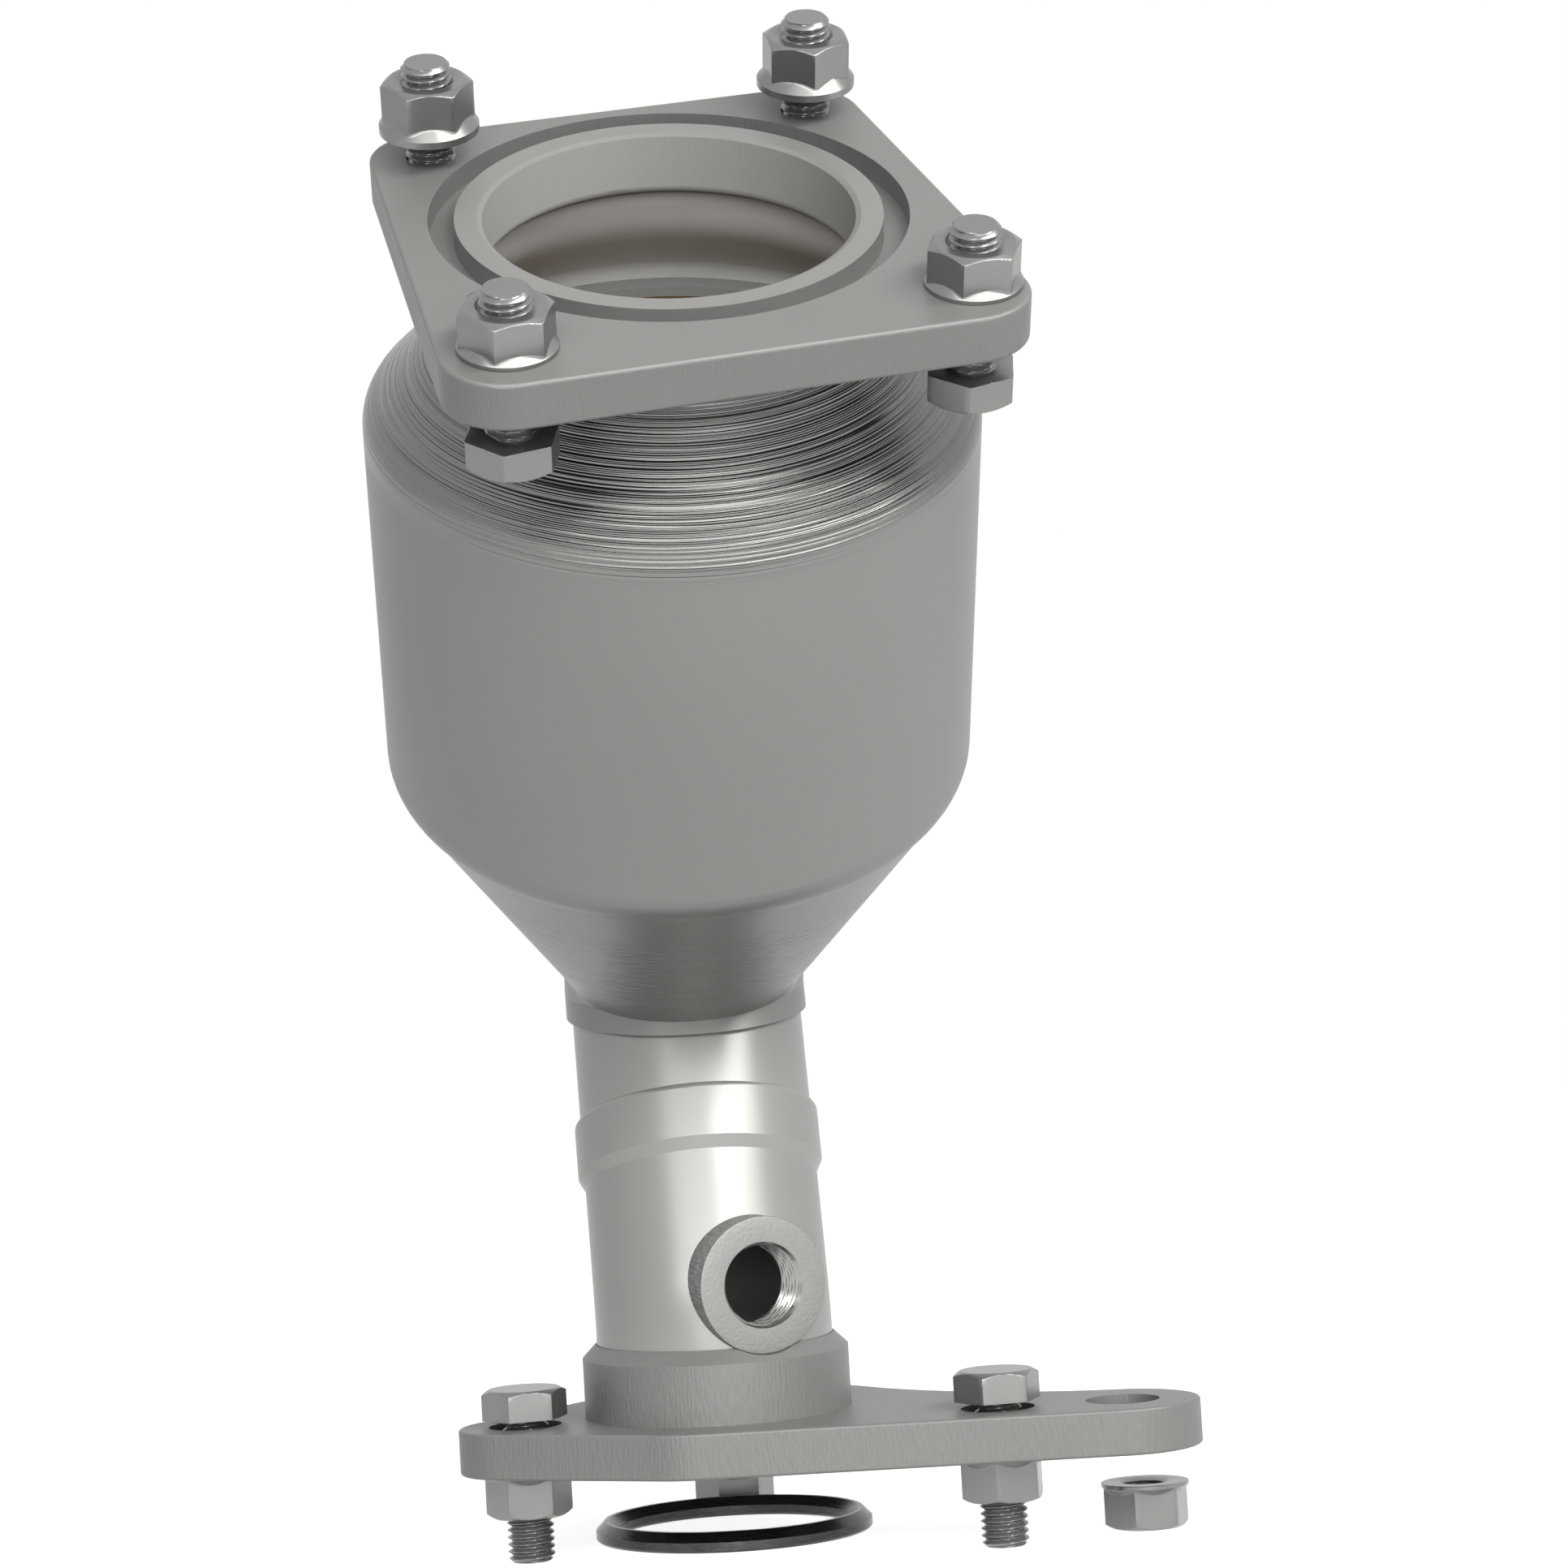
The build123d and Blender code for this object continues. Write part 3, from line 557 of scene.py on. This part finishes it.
def cast_material(name, place, colours, deep, painted_light_inside=None, turned=None):
    """Cast and blasted plate: fine grain, and streaks along its thickness on its edges. Its bore
    takes painted light: a lighter colour given for its inside, which stands in for light that
    doesn't reach into it. Inside a thread, at turned millimetres from the axis or more, it is
    bright cut metal with no grain."""
    material, tree = new_tree(name)
    streaks = noise(tree, local(tree, place, STREAKS), detail=2)
    grain = noise(tree, local(tree, place, GRAIN), detail=2)
    patches = noise(tree, local(tree, place, CAST_PATCHES), detail=1)
    streaks = calc(tree, "MULTIPLY", streaks, edges_of(tree, place))
    bright = inside_of(tree, place, turned) if turned else 0.0
    grain = calc(tree, "MULTIPLY", grain, outside_of(tree, bright))
    normal = bump(tree, grain, deep, bump(tree, streaks, deep * EDGE_STREAKS))
    shader = shade(tree, colours, patches, (0.42, 0.5), CAST_METALLIC, normal)
    # Painted light: the bore is made lighter, as if lit inside.
    if painted_light_inside:
        paint_light_inside(tree, shader, inside_of(tree, place, NECK_HOLLOW), painted_light_inside)
    if turned:
        blend_into(tree, shader, "Metallic", bright, CAST_METALLIC, TURNED_METALLIC)
        blend_into(tree, shader, "Roughness", bright, *TURNED_ROUGHNESS)
    return material


def spun_material(
    name, place, ridges=None, scratches=None, painted_light_inside=None,
    colours=(STEEL_DARK, STEEL), roughness=SPUN_ROUGHNESS, metallic=SPUN_METALLIC,
):
    """Spun sheet: rings about its axis between the heights in ridges, shinier and darkened there by
    painted shade, short scratches between those in scratches, fine mill lines all over, and inside,
    dull metal made lighter by painted light"""
    material, tree = new_tree(name)
    height = part_of(tree, local(tree, place, (1, 1, 1)), 2)
    patches = noise(tree, local(tree, place, SPUN_PATCHES), detail=0)
    normal = bump(tree, noise(tree, local(tree, place, MILL_LINES), detail=2), MILL_DEEP)
    if ridges:
        within = between(tree, height, ridges, RIDGE_FADE_LOW, RIDGE_FADE_HIGH)
        if painted_light_inside:
            outer = outside_of(tree, inside_of(tree, place, CAN_HOLLOW))
            within = calc(tree, "MULTIPLY", within, outer)
        rings = noise(tree, ring_path(tree, place, RIDGE_AROUND, RIDGE_ACROSS), detail=0.6)
        normal = bump(tree, calc(tree, "MULTIPLY", rings, within), RIDGE_DEEP, normal)
    if scratches:
        scratched = between(tree, height, scratches, SCRATCH_FADE, SCRATCH_FADE)
        lines = noise(tree, local(tree, place, SCRATCH_LINES), detail=1)
        normal = bump(tree, calc(tree, "MULTIPLY", lines, scratched), SCRATCH_DEEP, normal)
    shader = shade(tree, colours, patches, roughness, metallic, normal)
    if ridges:
        blend_into(tree, shader, "Metallic", within, metallic, RIDGE_METALLIC)
        blend_into(tree, shader, "Roughness", within, roughness[1], RIDGE_ROUGHNESS)
        # Painted shade: the base colour is darkened between the ridge heights, on the shoulder and
        # neck under the inlet plate.
        painted_shade = node(tree, "ShaderNodeMix", data_type="RGBA", blend_type="MULTIPLY")
        tree.links.new(within, painted_shade.inputs["Factor"])
        tree.links.new(shader.inputs["Base Color"].links[0].from_socket, painted_shade.inputs["A"])
        painted_shade.inputs["B"].default_value = (*RIDGE_PAINTED_SHADE, 1)
        tree.links.new(painted_shade.outputs["Result"], shader.inputs["Base Color"])
    # Painted light: the inside of the can is made lighter, as if lit inside.
    if painted_light_inside:
        paint_light_inside(tree, shader, inside_of(tree, place, CAN_HOLLOW), painted_light_inside)
    return material


def fastener_material():
    """Plated steel with faint lines"""
    material, tree = new_tree("fastener_steel_look")
    grain = noise(tree, local(tree, base, ZINC_GRAIN), detail=3)
    patches = noise(tree, local(tree, base, ZINC_PATCHES), detail=0)
    shade(tree, (ZINC_DARK, ZINC), patches, (0.27, 0.3), 0.7, bump(tree, grain, 0.006))
    return material


def ring_material():
    """Graphite facing of the gasket ring, pressed and a little streaky"""
    material, tree = new_tree("gasket_iron_look")
    grain = noise(tree, local(tree, seat(surface, *GASKET_MIDDLE, 0), GRAPHITE_GRAIN), detail=3)
    normal = bump(tree, grain, 0.05)
    shade(tree, (GRAPHITE_DARK, GRAPHITE), grain, (0.22, 0.34), 0.9, normal)
    return material


def brick_material():
    """Ceramic with its golden washcoat"""
    material, tree = new_tree("catalyst_ceramic_look")
    patches = noise(tree, local(tree, can, WASHCOAT_PATCHES), detail=3)
    normal = bump(tree, patches, 0.05)
    shade(tree, (WASHCOAT_DARK, WASHCOAT), patches, (0.8, 0.9), 0.0, normal)
    return material


def mat_material(name, colour, size):
    """Fibres or wires of one size, with painted shade in their hollows: the colour darkens where
    the relief is low
    """
    material, tree = new_tree(name)
    fibres = noise(tree, local(tree, can, (size, size, size)), detail=4)
    # Painted shade: the noise that makes the relief also darkens its low parts.
    hollow_shade = tuple(0.7 * c for c in colour)
    shade(tree, (hollow_shade, colour), fibres, (0.7, 0.9), 0.0, bump(tree, fibres, 0.2))
    return material


FLOOR_BOUNCE, FLOOR_TONE, FLOOR_GLOW = 0.15, 0.8, 0.85


def background_seen(tree):
    """1 for rays that see the background: from the camera, reflected or through glass"""
    path = node(tree, "ShaderNodeLightPath")
    both = calc(tree, "MAXIMUM", path.outputs["Is Camera Ray"], path.outputs["Is Glossy Ray"])
    return calc(tree, "MAXIMUM", both, path.outputs["Is Transmission Ray"])


def floor_material():
    """Pale floor, white to the camera and in reflections, that keeps the object's shadow"""
    material, tree = new_tree("floor_look")
    seen = background_seen(tree)
    diffuse = node(tree, "ShaderNodeBsdfDiffuse")
    tint = node(tree, "ShaderNodeCombineColor")
    for socket in tint.inputs:
        tree.links.new(ramp(tree, seen, 0, 1, FLOOR_BOUNCE, FLOOR_TONE, smooth=False), socket)
    tree.links.new(tint.outputs[0], diffuse.inputs["Color"])
    glow = node(tree, "ShaderNodeEmission")
    tree.links.new(calc(tree, "MULTIPLY", seen, FLOOR_GLOW), glow.inputs["Strength"])
    both = node(tree, "ShaderNodeAddShader")
    tree.links.new(diffuse.outputs[0], both.inputs[0])
    tree.links.new(glow.outputs[0], both.inputs[1])
    out = node(tree, "ShaderNodeOutputMaterial")
    tree.links.new(both.outputs[0], out.inputs["Surface"])
    return material


def dress(piece, material):
    """Gives a piece one material in place of what it had"""
    piece.data.materials.clear()
    piece.data.materials.append(material)


# New pieces in place of plain solids

def stand_for(piece, cad_node, material):
    """Puts a new piece in the place of a plain solid"""
    dress(piece, material)
    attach(piece, "root")
    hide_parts(cad_node)


# Outlet plate: spot, head's lift above the plate, nut's height, turns of head and nut. The back
# nut hangs at the end of its bolt.
fastener = fastener_material()
outlet_bolts = {
    "left": (LEFT_LOBE, HEAD_LIFT, 0, 13.7, 7.0),
    "right": (RIGHT_BOLT, HEAD_LIFT, 0, 8.7, 20.0),
    "back": (BACK_LOBE, 0.0, OUTLET_THICK - OUTLET_BOLT_LONG + OUTLET_NUT[0], 0.0, 8.0),
}
for name, (spot, lift, nut_top, head_turn, nut_turn) in outlet_bolts.items():
    head = seat(base, *spot, OUTLET_THICK + lift, head_turn)
    piece = bolt(f"outlet_bolt_{name}_threaded", head, OUTLET_BOLT_LONG)
    stand_for(piece, f"outlet_bolt_{name}", fastener)
    under = seat(base, *spot, nut_top, nut_turn, True)
    piece = nut(f"outlet_nut_{name}_threaded", under, *OUTLET_NUT)
    stand_for(piece, f"outlet_nut_{name}", fastener)

# Inlet plate's front row: distance along the row, turns of head and nut
front_bolts = {"left": (-42.8, -7.1, 2.5), "right": (45.7, -10.5, -1.8)}
for name, (u, head_turn, nut_turn) in front_bolts.items():
    head = seat(inlet, u, BOLT_ROW, INLET_BOLT_TIP - INLET_BOLT_LONG, -head_turn, True)
    piece = bolt(f"inlet_bolt_{name}_threaded", head, INLET_BOLT_LONG)
    stand_for(piece, f"inlet_bolt_{name}", fastener)
    on_plate = seat(inlet, u, BOLT_ROW, 0, nut_turn)
    piece = nut(f"inlet_nut_{name}_threaded", on_plate, *INLET_NUT)
    stand_for(piece, f"inlet_nut_{name}", fastener)

# Inlet plate's back row: distance along the row, turn of the nut
studs = {"left": (-38.35, -7.8), "right": (39.55, 24.8)}
for name, (u, nut_turn) in studs.items():
    hole = seat(inlet, u, STUD_ROW, 0, 0, True)
    piece = stud(f"inlet_stud_{name}_threaded", hole, INLET_THICK, -STUD_TIP)
    stand_for(piece, f"inlet_stud_{name}", fastener)
    raised = seat(inlet, u, STUD_ROW, STUD_NUT_LIFT, nut_turn)
    piece = nut(f"stud_nut_{name}_threaded", raised, *STUD_NUT)
    stand_for(piece, f"stud_nut_{name}", fastener)

lying = seat(surface, *SPARE_NUT, OUTLET_NUT[0], SPARE_NUT_TURN, True)
stand_for(nut("spare_nut_threaded", lying, *OUTLET_NUT), "spare_nut", fastener)

boss_look = cast_material("boss_look", bung, (BOSS_DARK, BOSS), 0.14, turned=BOSS_HOLLOW)
stand_for(sensor_boss("sensor_bung_threaded"), "sensor_bung", boss_look)

ceramic = brick_material()
for piece in honeycomb("honeycomb"):
    stand_for(piece, "catalyst_brick", ceramic)

# Materials of the solids that stay
plate_look = cast_material("outlet_plate_look", base, (PLATE_DARK, PLATE), 0.02)
inlet_look = cast_material("inlet_plate_look", inlet, (PLATE_DARK, PLATE), 0.016)
neck_look = cast_material("neck_ring_look", inlet, (STEEL_DARK, STEEL), 0.01, NECK_INSIDE_PAINTED_LIGHT)
can_look = spun_material("can_look", can, ridges=RIDGE_SPAN, painted_light_inside=CAN_INSIDE_PAINTED_LIGHT)
cone_look = spun_material("cone_look", can, scratches=SCRATCH_SPAN)
pipe_look = spun_material(
    "pipe_look", pipe, colours=(PIPE_DARK, PIPE), roughness=(0.32, 0.35), metallic=0.38
)
seal_look = mat_material("seal_look", WIRE, WIRE_SIZE)
finishes = {
    "outlet_flange": plate_look,
    "outlet_socket": plate_look,
    "inlet_flange": inlet_look,
    "inlet_neck": neck_look,
    "can_shell": can_look,
    "lower_cone": cone_look,
    "outlet_pipe": pipe_look,
    "upper_pipe": pipe_look,
    "gasket_ring": ring_material(),
    "support_mat": mat_material("mat_look", FIBRE, FIBRE_SIZE),
    "upper_mat_seal": seal_look,
    "lower_mat_seal": seal_look,
}
for name, look in finishes.items():
    dress(nodes[name], look)

# Floor
FLOOR_REACH, FLOOR_DROP = 3000.0, 0.05
corners = np.array([(-1, -1), (1, -1), (1, 1), (-1, 1)]) * FLOOR_REACH
floor_points = np.array([surface.at(x, y, -FLOOR_DROP) for x, y in corners])
floor = mesh_piece("floor", floor_points, [(0, 1, 2, 3)])
dress(floor, floor_material())
floor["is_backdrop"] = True

# World: white to the camera and in reflections. Elsewhere it is a soft light that grows evenly
# from the weakest level at the left to the strongest at the right, on BRIGHT_SIDE.
BRIGHT_SIDE, SKY_LIGHT = (0.85, -0.3, 0.1), (0.03, 0.32)
world = bpy.data.worlds.new("studio")
bpy.context.scene.world = world
world.use_nodes = True
tree = world.node_tree
tree.nodes.clear()
background = node(tree, "ShaderNodeBackground")
background.inputs["Color"].default_value = (1, 1, 1, 1)
sky_way = node(tree, "ShaderNodeTexCoord").outputs["Generated"]
sky_light = ramp(tree, lean_to(tree, sky_way, unit(BRIGHT_SIDE)), -1, 1, *SKY_LIGHT, smooth=False)
strength = calc(tree, "MAXIMUM", sky_light, background_seen(tree))
tree.links.new(strength, background.inputs["Strength"])
out = node(tree, "ShaderNodeOutputWorld")
tree.links.new(background.outputs[0], out.inputs["Surface"])

# Lamps: azimuth, elevation, then distance, width and height in metres, then watts.
# Azimuth 0 is the photograph's side and 90 its right.
LAMPS = {
    "key": (46, 36, 1.4, 1.1, 0.35, 13.5),
    "front": (-2, 24, 1.3, 1.4, 0.3, 9.0),
    "low": (8, 2, 1.1, 0.9, 0.35, 3.6),
}
LAMP_AIM = (0.0, -0.03, 0.13)


def softbox(name, azimuth, elevation, distance, width, high, watts):
    """An area lamp that looks at the converter from a distance along azimuth and elevation"""
    a, e = radians(azimuth), radians(elevation)
    way = Vector((sin(a) * cos(e), -cos(a) * cos(e), sin(e)))
    light = bpy.data.lights.new(name, "AREA")
    light.shape = "RECTANGLE"
    light.size, light.size_y, light.energy = width, high, watts
    lamp = bpy.data.objects.new(name, light)
    lamp.location = Vector(LAMP_AIM) + way * distance
    lamp.rotation_euler = (-way).to_track_quat("-Z", "Y").to_euler()
    bpy.context.scene.collection.objects.link(lamp)


for name, settings in LAMPS.items():
    softbox(name, *settings)

camera = bpy.data.cameras.new("photo")
camera.lens, camera.sensor_width, camera.clip_end = LENS, SENSOR, CAMERA_REACH
eye = bpy.data.objects.new("photo", camera)
turn = Matrix([CAMERA_RIGHT, [-c for c in CAMERA_DOWN], [-c for c in CAMERA_AHEAD]]).transposed()
eye.matrix_world = Matrix.Translation(Vector(CAMERA_PLACE) * MM) @ turn.to_4x4()
bpy.context.scene.collection.objects.link(eye)
bpy.context.scene.camera = eye
bpy.context.scene.view_settings.view_transform = "Standard"


def plain(value):
    """Numbers in nested lists, from vectors or pairs of them"""
    return [plain(v) for v in value] if hasattr(value, "__len__") else float(value)


{"cad": plain(cad_box), "visual": plain(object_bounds())}
